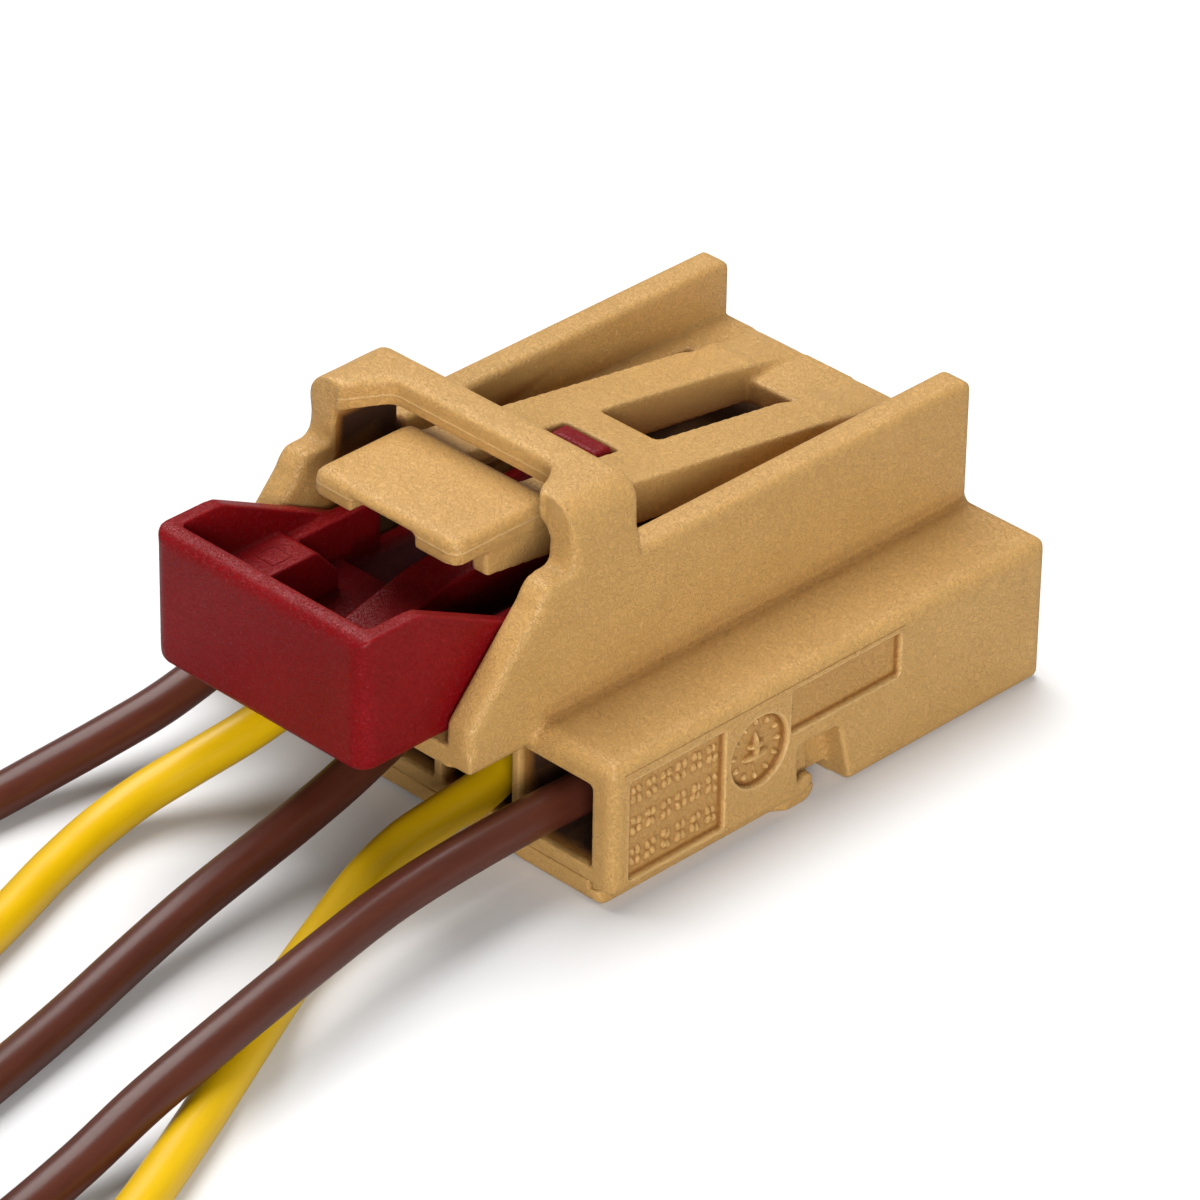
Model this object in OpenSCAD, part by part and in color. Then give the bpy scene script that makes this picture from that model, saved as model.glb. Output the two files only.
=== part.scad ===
// Five-way tail light cable connector: a moulded plug housing with a press-down
// latch, a red position lock that slides under it, a terminal retainer clipped in
// from below, and five crimped contacts on insulated leads.
// X runs across the row of contacts, +Y is the plugging direction and Z is up.

/* [Contact chambers] */
// Distance between neighbouring contacts
pitch = 5; // [4.8:0.1:6]
// Width of a chamber's mouth on the wire side
mouth_w = 4.5; // [4:0.1:4.6]
// Height of a chamber's mouth on the wire side
mouth_h = 4.3; // [4:0.1:4.4]
// Depth of the wide mouth
mouth_l = 10.2; // [9.8:0.1:10.6]
// Height of the chamber floor above the underside
floor_z = 1.9; // [1.7:0.1:2.2]
// Width of the narrow part that guides a contact
bore_w = 3.7; // [3.6:0.05:3.9]
// Height of the narrow part that guides a contact
bore_h = 3.2; // [3.1:0.05:3.4]
// Wall at the plugging face
face_t = 1.2; // [0.8:0.1:1.6]
// Width of a blade slot in the plugging face
blade_w = 3.2; // [3:0.1:3.4]
// Height of a blade slot in the plugging face
blade_h = 1.2; // [1:0.1:1.6]

/* [Housing base] */
// Wall outside the outer chambers
jamb = 1.35; // [1.2:0.05:1.6]
// Length from the wire side to the plugging face
base_l = 28.35; // [27.6:0.05:32]
// Height of the ledges beside the tower
base_h = 7.6; // [7.2:0.1:8]
// Radius along the upper edges of the base
ledge_r = 0.8; // [0.3:0.1:1]
// Radius of the other moulded edges
edge_r = 0.5; // [0.2:0.05:0.7]
// Depth of the sunk panels on the marked side
panel_d = 0.2; // [0.1:0.05:0.3]

/* [Tower] */
// Width of the tower that carries latch and lock
tower_w = 17.2; // [16.8:0.1:18]
// Thickness of the tower's side walls
wall = 1.7; // [1.4:0.1:1.8]
// Height of the fins along the rear, above the ledges
fin_z = 6.35; // [5.4:0.05:6.4]
// How far the tower stands out over the wires
skirt_l = 3.9; // [3:0.1:5]
// Thickness of the floor under the tower's front
skirt_t = 1.1; // [0.8:0.1:1.4]
// Height of the brow where the slanted front ends, above the ledges
brow_z = 6.8; // [6.6:0.1:7.2]
// Height of the guard bridge's top above the thumb pad
bridge_z = 2.15; // [2.05:0.05:3]
// Thickness of the guard bridge
bridge_t = 1.45; // [1:0.05:1.5]
// Radius of the bridge's upper corners
bridge_r = 1.7; // [0.8:0.1:2]
// Top of the plate that roots the latch, above the ledges
plate_z = 3.6; // [3.4:0.1:4]
// Thickness of that plate
plate_t = 1.3; // [1:0.1:1.4]

/* [Latch lever] */
// Width over the two arms
lever_w = 9.1; // [8.8:0.1:9.4]
// Width of the window between the arms
window_w = 3.6; // [3:0.1:4]
// Width of the thumb pad
pad_w = 9.3; // [9:0.1:9.6]
// Top of the thumb pad, above the ledges
pad_z = 8.05; // [7.9:0.05:8.2]
// Thickness of the thumb pad
pad_t = 1.25; // [1:0.05:1.3]
// Distance of the flexing root from the plugging face
root_back = 4.05; // [3.6:0.05:4.3]
// Radius of the rounded root of each arm
root_r = 1; // [0.8:0.05:1.05]
// Running clearance round the root
root_fit = 0.06; // [0.03:0.01:0.1]

/* [Position lock] */
// How far the lock stands out of the tower before it is pushed home
lock_out = 4.75; // [4:0.05:5]
// Top of the lock's grip, above the ledges
lock_z = 7.2; // [7:0.05:7.8]
// Height of the runners that carry the lock
lock_gap = 0.3; // [0.2:0.05:0.4]
// Side clearance of the lock in the tower
lock_side = 0.12; // [0.1:0.01:0.2]
// Wall of the lock's front
grip_t = 1.1; // [0.9:0.1:1.4]
// Wall of the lock's sides
cheek_t = 0.8; // [0.7:0.05:1]
// Radius of the grip's rounded edges
grip_r = 0.8; // [0.3:0.1:1]
// Width of the tongue that runs under the latch
tongue_w = 2.5; // [2:0.1:2.8]

/* [Terminal retainer] */
// Thickness of the retainer's sole
sole_t = 0.75; // [0.6:0.05:0.9]
// Length of the sole from the wire side
sole_l = 13.4; // [13.2:0.1:13.8]
// Thickness of the side clips
clip_t = 0.6; // [0.5:0.05:0.65]
// Clearance round the retainer's clips and prongs
clip_gap = 0.1; // [0.05:0.01:0.12]

// Height of the lip along the retainer's front
lip_z = 1.15; // [1:0.05:1.4]

/* [Contacts and leads] */
// Sheet thickness of a contact
sheet = 0.3; // [0.2:0.05:0.35]
// Sheet thickness of the steel cage round a contact
cage_t = 0.25; // [0.2:0.05:0.3]
// Clearance of a cage in its chamber
cage_gap = 0.15; // [0.1:0.05:0.2]
// Diameter of a lead over its insulation
wire_d = 2; // [1.6:0.05:2.1]
// Diameter of a lead's bare strands
strand_d = 1.2; // [0.9:0.05:1.25]

/* [Hidden] */
WAYS = 5;

TAN = "#c79a5b";
RED = "#8f1420";
TIN = "#c9ccd0";
STEEL = "#a9adb2";
COPPER = "#b8733f";
LEADS = ["#4a2622", "#e6c114", "#4a2622", "#e6c114", "#4a2622"];

arc_steps = 6;
cut = 1;
bite = 0.4;

mouth_step = 1.4;
mouth_r = 1.2;
base_w = (WAYS - 1) * pitch + mouth_w + 2 * jamb;
base_x = base_w / 2;
axis_z = floor_z + mouth_h / 2;
tower_x = tower_w / 2;
inner_x = tower_x - wall;
skirt_z = base_h - skirt_t;
root_y = base_l - root_back;
fin_top = base_h + fin_z;
brow_top = base_h + brow_z;
plate_top = base_h + plate_z;
plate_low = plate_top - plate_t;
pad_top = base_h + pad_z;
pad_low = pad_top - pad_t;
bridge_top = pad_top + bridge_z;
bridge_low = bridge_top - bridge_t;
lock_top = base_h + lock_z;
root_z = plate_low + root_r;
lock_y = -skirt_l - lock_out;
mid_y = (base_l + lock_y) / 2;

// Stations along the tower: bridge, shoulders and the notch under them
bridge_back = 6.6;
bridge_front = 4.55;
shoulder_y = 1.65;
throat_y = 2.6;
throat_drop = 2.2;
throat_z = bridge_top - throat_drop;
front_rise = 2.4;
front_z = skirt_z + front_rise;
brow_y = 1.05;
bridge_notch = 5;
shoulder_in = 7.3;
shoulder_r = 1.2;

// Latch: its top slopes from the root up to the pad
arm_seat = 0.6;
arm_in = window_w / 2;
arm_out = lever_w / 2;
window_front = 14.5;
peep_x = 1.7;
peep_back = 12.2;
pad_y = -1;
pad_back = 5;
leg_y = 1;
leg_w = 1;
leg_drop = 1.3;
leg_z = pad_low - leg_drop;
skin_t = 0.8;
slot_x = 5.7;
side_plate_y = 16;
plate_back = base_l - 0.35;
tail_y = plate_back - 0.1;
arm_slope = (pad_low + arm_seat - plate_low - 2 * root_r) / (root_y - pad_back);

// Lock: where its grip, blocks, rails and tongue begin and end
grip_y = -5.1;
cheek_y = 4;
cheek_rise = 2.7;
cheek_z = base_h + cheek_rise;
block_in = 3.4;
block_y = -1.7;
block_end = -0.4;
block_drop = 2.4;
block_z = pad_low - block_drop;
heel_drop = 1.5;
block_heel = block_z - heel_drop;
rail_rise = 4.05;
rail_z = base_h + rail_rise;
rail_w = 0.7;
lock_floor_t = 1.5;
lock_floor_y = 1.65;
hump_front = 9.5;
hump_back = 12.3;
hump_gap = 0.87;
hump_x = 1.5;
hump_z = arm_top(window_front) - skin_t - hump_gap;
fork_gap = 0.5;
fork_side = 0.5;
fork_t = 0.9;
fork_y = 20;
tongue_y = 24;
tongue_t = 1.1;
rear_hump_y = 22.4;
rear_hump_z = plate_low - 0.2;
mid_hump_y = 19.4;
mid_hump_z = rear_hump_z + 0.9;
catch_y = 10.85;
catch_back = peep_back - 0.25;
catch_z = arm_top(peep_back) + 0.15;

// Sunk panels on the marked side: a plate for marks, a date dial and a blank field
marks_y = 1.1;
marks_back = 7.1;
marks_low = 1.35;
marks_top = base_h - 1.1;
dial_y = 9.35;
dial_z = 4.45;
dial_r = 1.8;
field_y = 11.4;
field_back = 18.5;
field_top = base_h - 0.9;
field_h = 2.25;

// Contact: stations along Y and half sizes of its box
cage_y = 12.75;
cage_stop = 0.3;
cage_end = base_l - face_t - cage_stop;
cage_x = bore_w / 2 - cage_gap;
cage_z = bore_h / 2 - cage_gap;
port_start = 5;
port_l = 3;
box_gap = 0.05;
box_x = cage_x - cage_t - box_gap;
box_z = cage_z - cage_t;
beam_start = 3;
beam_nip = 3.5;
beam_lip = 0.6;
neck_x = 0.9;
neck_l = 2.35;
crimp_l = 3.1;
bare_l = 1.1;
grip_set = 0.3;
grip_l = 2.3;
crimp_end = cage_y - neck_l;
crimp_y = crimp_end - crimp_l;
strip_y = crimp_y - bare_l;
grip_end = strip_y - grip_set;
grip_start = grip_end - grip_l;
crimp_bite = 0.02;
bore_low = axis_z - cage_z;

// Retainer: front lip, notch in the side wall, clip behind it and prongs beside each contact
lip_t = 1.2;
lip_x = base_x - jamb;
sole_in = 0.35;
notch_y = 11.95;
notch_z = 3.6;
notch_back = 14.6;
sole_stop = 15.4;
clip_y = 11.2;
clip_x = base_x - jamb;
skin_x = base_x - 0.55;
prong_l = 1.45;
prong_gap = 0.25;
prong_back = cage_y - prong_gap;
prong_y = prong_back - prong_l;
prong_w = 0.55;
prong_z = 3.7;

// Routes of the leads, chosen by hand, from the crimp out to the cut end
lie_z = wire_d / 2;
LEAD_ROUTES = [
    [[-10, strip_y, axis_z], [-10, 3, axis_z], [-9.9, 0.5, 3.9], [-9.8, -2.5, 3.3], [-9.9, -5.5, 2.6],
     [-10.3, -8.5, 2], [-10.7, -11.5, 1.5], [-11, -15, 1.1], [-11.2, -20, lie_z], [-11.3, -26, lie_z],
     [-11.3, -33, lie_z], [-11.1, -42, lie_z], [-10.7, -53, lie_z], [-10.2, -65, lie_z], [-9.8, -78, lie_z],
     [-9.6, -92, lie_z]],
    [[-5, strip_y, axis_z], [-5, 3, axis_z], [-5, 0.5, 3.95], [-4.9, -2, 3.6], [-5.1, -4.5, 3],
     [-5.7, -7.5, 2.2], [-6.2, -10, 1.5], [-6.1, -12.5, 1.1], [-5.2, -16, lie_z], [-3.6, -20.5, lie_z],
     [-1.6, -27, lie_z], [0, -35, lie_z], [1.2, -45, lie_z], [1.8, -57, lie_z], [2, -71, lie_z],
     [2, -88, lie_z]],
    [[0, strip_y, axis_z], [0, 3, axis_z], [0.3, 0.5, 3.95], [0.8, -2, 3.7], [1.2, -4.5, 3.3],
     [1.5, -7.5, 2.8], [1.8, -11, 2.3], [2.2, -14.5, 1.9], [2.9, -18.5, 1.5], [4, -23.5, 1.15],
     [5.4, -30, lie_z], [6.9, -38, lie_z], [8.2, -48, lie_z], [9, -59, lie_z], [9.5, -71, lie_z],
     [9.6, -86, lie_z]],
    [[5, strip_y, axis_z], [5.1, 3.6, 3.9], [5.5, 1.4, 3.4], [5.7, -0.5, 3], [5.6, -2.5, 2.7],
     [5.6, -5, 2.4], [6, -7.7, 1.9], [7, -10.9, 1.3], [8.2, -14, lie_z], [10.8, -19.3, lie_z],
     [13.6, -24.9, lie_z], [16.4, -31, lie_z], [19.2, -39, lie_z], [20.8, -49, lie_z], [21.2, -64, lie_z],
     [21.2, -84, lie_z]],
    [[10, strip_y, axis_z], [10, 2.5, axis_z], [9.9, -0.5, axis_z], [9.9, -5, 4], [10.1, -10, 3.85],
     [10.8, -15, 3.65], [11.5, -19.5, 3.4], [12, -23, 3.1], [12.3, -26.5, 2.5], [12.7, -30.5, 1.6],
     [13.2, -34.5, 1.1], [13.9, -39, lie_z], [15.2, -47, lie_z], [16.5, -57, lie_z], [17.4, -69, lie_z],
     [18, -84, lie_z]]];
LEAD_SIDES = 8;

// Outline with rounded corners: every corner is [x, y, radius]
function xy(p) = [p[0], p[1]];
function unit(v) = v / norm(v);
function rounded_corner(a, b, c, r) =
    let (
        u = unit(a - b),
        v = unit(c - b),
        half = acos(u * v) / 2,
        centre = b + unit(u + v) * r / sin(half),
        from = b + u * r / tan(half) - centre,
        to = b + v * r / tan(half) - centre,
        start = atan2(from.y, from.x),
        raw = atan2(to.y, to.x) - start,
        turn = raw > 180 ? raw - 360 : raw < -180 ? raw + 360 : raw
    )
    [for (k = [0:arc_steps])
        let (angle = start + turn * k / arc_steps)
        centre + r * [cos(angle), sin(angle)]];
function outline(corners) =
    let (n = len(corners))
    [for (i = [0:n - 1])
        let (b = xy(corners[i]), r = corners[i][2])
        each r > 0
            ? rounded_corner(xy(corners[(i + n - 1) % n]), b, xy(corners[(i + 1) % n]), r)
            : [b]];
function rect(x0, y0, x1, y1, r = 0) = [[x0, y0, r], [x1, y0, r], [x1, y1, r], [x0, y1, r]];

// Prisms along the three axes; the outline lies in the plane of the other two
module along_x(x0, x1, corners)
    translate([x0, 0, 0]) rotate([90, 0, 90]) linear_extrude(x1 - x0) polygon(outline(corners));
module along_y(y0, y1, corners)
    translate([0, y1, 0]) rotate([90, 0, 0]) linear_extrude(y1 - y0) polygon(outline(corners));
module along_z(z0, z1, corners)
    translate([0, 0, z0]) linear_extrude(z1 - z0) polygon(outline(corners));
module block(x0, y0, z0, x1, y1, z1)
    translate([x0, y0, z0]) cube([x1 - x0, y1 - y0, z1 - z0]);
module rod_x(x0, x1, y, z, r)
    translate([x0, y, z]) rotate([0, 90, 0]) cylinder(r = r, h = x1 - x0, $fn = 48);
module rod_y(y0, y1, z, r)
    translate([0, y1, z]) rotate([90, 0, 0]) cylinder(r = r, h = y1 - y0, $fn = 48);
module both() {
    children();
    mirror([1, 0, 0]) children();
}
module each_way() {
    for (i = [0:WAYS - 1]) translate([way_x(i), 0, 0]) children();
}
module placed() {
    translate([0, -mid_y, 0]) children();
}
function way_x(i) = (i - (WAYS - 1) / 2) * pitch;
function arm_top(y) = plate_low + 2 * root_r + (root_y - y) * arm_slope;
function arm_low(y) =
    let (rise = (leg_z - plate_low) / (root_y - leg_y))
    plate_low + (root_y - y) * rise;

// Lower block of the housing, stepped underneath for the retainer
module base_body() {
    intersection() {
        along_y(0, base_l, [[-base_x, 0, edge_r], [base_x, 0, edge_r],
                            [base_x, base_h, ledge_r], [-base_x, base_h, ledge_r]]);
        along_z(-cut, base_h + cut, rect(-base_x, 0, base_x, base_l, edge_r));
        along_x(-base_x - cut, base_x + cut,
                [[0, sole_t, 0], [sole_stop - 0.2, sole_t, 0], [sole_stop, 0, 0], [base_l, 0, edge_r],
                 [base_l, base_h, edge_r], [0, base_h, ledge_r]]);
    }
}

// Side walls, slanted front and guard bridge of the tower
module tower_body() {
    intersection() {
        along_x(-tower_x, tower_x,
                [[-skirt_l, skirt_z, edge_r], [-skirt_l, front_z, 1.2], [brow_y, brow_top, 0.8],
                 [throat_y, brow_top, 0.35], [throat_y, throat_z, 1.2], [shoulder_y, throat_z + 1, 1.2],
                 [shoulder_y, bridge_top, 0.7], [bridge_back, bridge_top, edge_r],
                 [bridge_back, fin_top, edge_r],
                 [base_l, fin_top, edge_r + 0.2], [base_l, base_h - bite, 0], [0, base_h - bite, 0],
                 [0, skirt_z, 0]]);
        union() {
            both() intersection() {
                along_z(base_h - bite, (brow_top + throat_z) / 2, wall_plan());
                sloped_front();
            }
            block(-tower_x, -skirt_l, 0, tower_x, base_l, base_h);
            along_z((brow_top + throat_z) / 2 - bite, bridge_top + cut,
                    [[-tower_x, shoulder_y, shoulder_r], [tower_x, shoulder_y, shoulder_r],
                     [tower_x, bridge_back, edge_r], [-tower_x, bridge_back, edge_r]]);
        }
        union() {
            both() along_y(bridge_back - edge_r, base_l, fin_section(fin_top));
            both() along_y(-skirt_l, bridge_back, fin_section(brow_top));
            difference() {
                along_y(shoulder_y, bridge_back,
                        [[-tower_x, base_h, 0], [tower_x, base_h, 0], [tower_x, bridge_top, bridge_r],
                         [-tower_x, bridge_top, bridge_r]]);
                along_y(shoulder_y - cut, bridge_back + cut,
                        [[-inner_x, base_h - cut, 0], [inner_x, base_h - cut, 0],
                         [inner_x, bridge_low, 0.8], [-inner_x, bridge_low, 0.8]]);
            }
        }
    }
}
function fin_section(top) =
    [[inner_x, skirt_z, 0], [tower_x, skirt_z, edge_r], [tower_x, top, edge_r], [inner_x, top, edge_r - 0.1]];
function wall_plan() =
    [[inner_x, -skirt_l, edge_r], [tower_x, -skirt_l, edge_r], [tower_x, base_l, edge_r - 0.1],
     [inner_x, base_l, edge_r - 0.1]];

// Space behind the slanted front line, with both edges of a wall rounded along the slant
module sloped_front() {
    lean = atan2(brow_y + skirt_l, brow_top - front_z);
    slack = 0.02;
    translate([0, 0.05 - skirt_l, front_z]) rotate([-lean, 0, 0]) translate([0, 0, -base_l])
        linear_extrude(3 * base_l)
            polygon(outline([[inner_x - slack, 0, edge_r], [tower_x + slack, 0, edge_r],
                             [tower_x + slack, 2 * base_l, 0], [inner_x - slack, 2 * base_l, 0]]));
}

// The bridge is set back in the middle, between two slanted shoulders
module bridge_recess() {
    along_z(bridge_low - cut, bridge_top + cut,
            [[-shoulder_in, shoulder_y - cut, 0], [shoulder_in, shoulder_y - cut, 0],
             [shoulder_in, shoulder_y + 0.3, 0.4], [bridge_notch, bridge_front, 0.8],
             [-bridge_notch, bridge_front, 0.8], [-shoulder_in, shoulder_y + 0.3, 0.4]]);
}

// Plate between the fins, with the tails of the latch arms and the seats of their roots
module root_plate() {
    difference() {
        union() {
            block(-inner_x - bite, root_y, plate_low, inner_x + bite, plate_back, plate_top);
            both() block(slot_x, side_plate_y, plate_low, inner_x + bite, root_y + bite, plate_top);
            both() along_x(arm_in, arm_out,
                           [[root_y, plate_top - bite, 0], [tail_y, plate_top - bite, 0],
                            [tail_y, plate_top, 0], [root_y, arm_top(root_y), 0]]);
        }
        both() rod_x(arm_in - clip_gap, arm_out + clip_gap, root_y, root_z, root_r + root_fit);
    }
}

// One chamber: wide mouth, narrow guide and a funnelled blade slot
module chamber() {
    block(-mouth_w / 2, -cut, floor_z, mouth_w / 2, mouth_step, floor_z + mouth_h);
    along_y(0, mouth_l, rect(-mouth_w / 2, floor_z, mouth_w / 2, floor_z + mouth_h, mouth_r));
    block(-bore_w / 2, -cut, bore_low, bore_w / 2, base_l - face_t, bore_low + bore_h);
    block(-blade_w / 2, 0, axis_z - blade_h / 2, blade_w / 2, base_l + cut, axis_z + blade_h / 2);
    funnel = face_t / 2;
    intersection() {
        along_x(-bore_w, bore_w,
                [[base_l - funnel, axis_z - blade_h / 2, 0],
                 [base_l + cut, axis_z - blade_h / 2 - funnel - cut, 0],
                 [base_l + cut, axis_z + blade_h / 2 + funnel + cut, 0],
                 [base_l - funnel, axis_z + blade_h / 2, 0]]);
        along_z(0, base_h,
                [[-blade_w / 2, base_l - funnel, 0], [blade_w / 2, base_l - funnel, 0],
                 [blade_w / 2 + funnel + cut, base_l + cut, 0],
                 [-blade_w / 2 - funnel - cut, base_l + cut, 0]]);
    }
    block(-prong_x() - prong_w - clip_gap, prong_y - clip_gap, -cut,
          prong_x() + prong_w + clip_gap, prong_back + clip_gap, axis_z);
}
function prong_x() = neck_x + clip_gap;

// Notch with its catch in each side wall, and the pocket of the clip behind it
module clip_pocket() {
    along_x(clip_x, base_x + cut,
            [[notch_y, floor_z - 0.4, 0], [notch_y, notch_z, 0.5], [notch_back, notch_z - 0.2, 0.2],
             [sole_stop + 0.05, -0.05, 0], [sole_stop, -cut, 0], [notch_y + 0.4, -cut, 0],
             [notch_y + 0.4, sole_t - 0.05, 0], [notch_y + 1, sole_t + 0.3, 0.15],
             [notch_y + 1, floor_z - 0.1, 0.25]]);
    block(clip_x - clip_gap, clip_y - clip_gap, -cut, skin_x, sole_l + clip_gap, notch_z + clip_gap);
}

module side_panels() {
    translate([base_x - panel_d, 0, 0]) {
        along_x(0, cut, rect(marks_y, marks_low, marks_back, marks_top, 0.2));
        along_x(0, cut, rect(field_y, field_top - field_h, field_back, field_top, 0.25));
        rod_x(0, cut, dial_y, dial_z, dial_r);
    }
}

module housing() {
    color(TAN) placed() difference() {
        union() {
            base_body();
            tower_body();
            block(-inner_x - bite, -skirt_l, skirt_z, inner_x + bite, bite, base_h);
            root_plate();
        }
        bridge_recess();
        each_way() chamber();
        block(-lip_x - clip_gap, -cut, -cut, lip_x + clip_gap, lip_t + clip_gap, lip_z);
        both() clip_pocket();
        side_panels();
    }
}

// Latch lever: two arms from the flexing root, cross bars, legs and the thumb pad
module latch_lever() {
    color(TAN) placed() {
        difference() {
            union() {
                both() rod_x(arm_in, arm_out, root_y, root_z, root_r);
                both() along_x(arm_in, arm_out, arm_section(window_front - bite));
                along_x(-arm_out, arm_out,
                        [[pad_back - bite, arm_top(pad_back - bite) - skin_t, 0],
                         [window_front, arm_top(window_front) - skin_t, 0],
                         [window_front, arm_top(window_front), 0],
                         [pad_back - bite, arm_top(pad_back - bite), 0]]);
                both() along_x(arm_out - leg_w, arm_out,
                               [[leg_y, leg_z, 0.2], [window_front, arm_low(window_front), 0],
                                [window_front, arm_top(window_front), 0], [pad_back, arm_top(pad_back), 0],
                                [pad_back, pad_top - bite, 0], [leg_y, pad_top - bite, 0]]);
                thumb_pad();
            }
            block(-peep_x, pad_back, 0, peep_x, peep_back, bridge_top);
        }
    }
}
function arm_section(front) =
    [[front, arm_low(front), 0], [root_y, plate_low, 0],
     [root_y, arm_top(root_y), 0], [front, arm_top(front), 0]];
module thumb_pad() {
    difference() {
        intersection() {
            along_z(pad_low, pad_top, rect(-pad_w / 2, pad_y, pad_w / 2, pad_back, 0.6));
            along_x(-pad_w, pad_w, [[pad_y, 0, 0], [pad_back + cut, 0, 0], [pad_back + cut, pad_top, 0],
                                    [pad_y, pad_top, edge_r]]);
            along_y(pad_y - cut, pad_back + cut,
                    [[-pad_w / 2, 0, 0], [pad_w / 2, 0, 0],
                     [pad_w / 2, pad_top, edge_r], [-pad_w / 2, pad_top, edge_r]]);
        }
        block(-2, pad_y - cut, 0, 2, pad_back, pad_low + pad_t / 2);
    }
}

// Position lock: grip, cheeks, stop blocks, guide rails, fork legs and the tongue under the latch
module position_lock() {
    lock_x = inner_x - lock_side;
    low = base_h + lock_gap;
    floor_top = low + lock_floor_t;
    well_x = lock_x - cheek_t;
    well_y = lock_y + grip_t;
    color(RED) placed() {
        difference() {
            intersection() {
                along_x(-lock_x, lock_x,
                        [[lock_y, low, edge_r], [cheek_y, low, 0], [cheek_y, cheek_z, 0.3],
                         [grip_y, lock_top, 1.2], [lock_y, lock_top, grip_r]]);
                along_z(0, bridge_top, [[-lock_x, lock_y, grip_r], [lock_x, lock_y, grip_r],
                                        [lock_x, cheek_y, 0], [-lock_x, cheek_y, 0]]);
                along_y(lock_y - cut, cheek_y + cut,
                        [[-lock_x, low, edge_r], [lock_x, low, edge_r], [lock_x, bridge_top, 0],
                         [-lock_x, bridge_top, 0]]);
            }
            along_z(floor_top, bridge_top, rect(-well_x, well_y, well_x, cheek_y + cut, 0.3));
            block(-well_x, lock_floor_y, 0, well_x, cheek_y + cut, bridge_top);
        }
        both() along_x(block_in, well_x + bite / 2,
                       [[well_y - bite, low, 0], [block_end, low, 0], [block_end, block_heel, 0.5],
                        [block_y, block_z, 0.3], [well_y - bite, block_z, 0]]);
        both() block(well_x - rail_w, block_y - bite, low, well_x + bite / 2, cheek_y, rail_z);
        both() block(well_x - rail_w, bite - skirt_l, base_h, well_x + bite / 2, cheek_y, low + bite);
        both() block(hump_x + fork_gap, lock_floor_y - bite, low,
                     inner_x - fork_side, fork_y, low + fork_t);
        along_x(-tongue_w / 2, tongue_w / 2, tongue_section(low, well_y, floor_top));
        along_x(-hump_x, hump_x,
                [[hump_front, low, 0], [hump_back + 0.4, low, 0], [hump_back + 0.4, mid_hump_z, 0],
                 [hump_back, hump_z, 0.3], [hump_front, hump_z, 0.3]]);
    }
}
// The tongue springs from the floor, climbs to the hump and ends in two low humps
function tongue_section(low, front, floor_top) =
    [[front, low, 0], [tongue_y, low, 0.3], [tongue_y, rear_hump_z, 0.6], [rear_hump_y, rear_hump_z, 0.4],
     [rear_hump_y - 0.4, low + tongue_t, 0], [mid_hump_y + 0.8, low + tongue_t, 0],
     [mid_hump_y, mid_hump_z, 0.6], [hump_back, mid_hump_z, 0], [hump_front + 1, hump_z - bite, 0],
     [hump_front - 1, hump_z - 0.4, 0], [lock_floor_y, hump_z - 1, 2], [block_y - 0.5, floor_top + bite, 2],
     [front, floor_top, 0]];

// Catch on the tongue's hump: it fills the latch's peep hole and ducks under the cross bar
module lock_catch() {
    color(RED) placed() intersection() {
        along_x(-hump_x, hump_x, rect(catch_y, hump_z, catch_back, catch_z, 0));
        along_x(-hump_x, hump_x, [[catch_y, hump_z - cut, 0], [catch_back, hump_z - cut, 0],
                                  [catch_back, catch_z, 0.25], [catch_y, catch_z, 0.25]]);
        along_y(catch_y - cut, catch_back + cut,
                [[-hump_x, hump_z - cut, 0], [hump_x, hump_z - cut, 0], [hump_x, catch_z, 0.3],
                 [-hump_x, catch_z, 0.3]]);
    }
}

// Terminal retainer: a sole that closes the underside, side clips and locking prongs
module terminal_retainer() {
    skid_in = 1.5 * pitch;
    color(TAN) placed() {
        difference() {
            intersection() {
                along_z(0, sole_t, [[sole_in - base_x, 0, edge_r], [base_x - sole_in, 0, edge_r],
                                    [base_x - sole_in, sole_l, 0], [sole_in - base_x, sole_l, 0]]);
                along_x(-base_x, base_x,
                        [[0, 0, edge_r], [sole_l, 0, 0.7], [sole_l, sole_t, 0], [0, sole_t, 0]]);
            }
            block(-skid_in, -cut, -cut, skid_in, sole_l + cut, sole_t - 0.5);
        }
        block(-lip_x, 0, sole_t - bite, lip_x, lip_t, lip_z);
        both() along_x(clip_x, clip_x + clip_t,
                       [[clip_y, sole_t - bite, 0], [sole_l, sole_t - bite, 0],
                        [sole_l - 0.2, notch_z - clip_gap, 0.3], [clip_y, notch_z - clip_gap, 0.3]]);
        each_way() {
            block(-prong_x() - prong_w, prong_y, sole_t - bite, prong_x() + prong_w, prong_back,
                  bore_low);
            both() along_x(prong_x(), prong_x() + prong_w,
                           [[prong_y, floor_z, 0], [prong_back, floor_z, 0], [prong_back, prong_z, 0.1],
                            [prong_y, prong_z - 0.6, 0.1]]);
        }
    }
}

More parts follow.
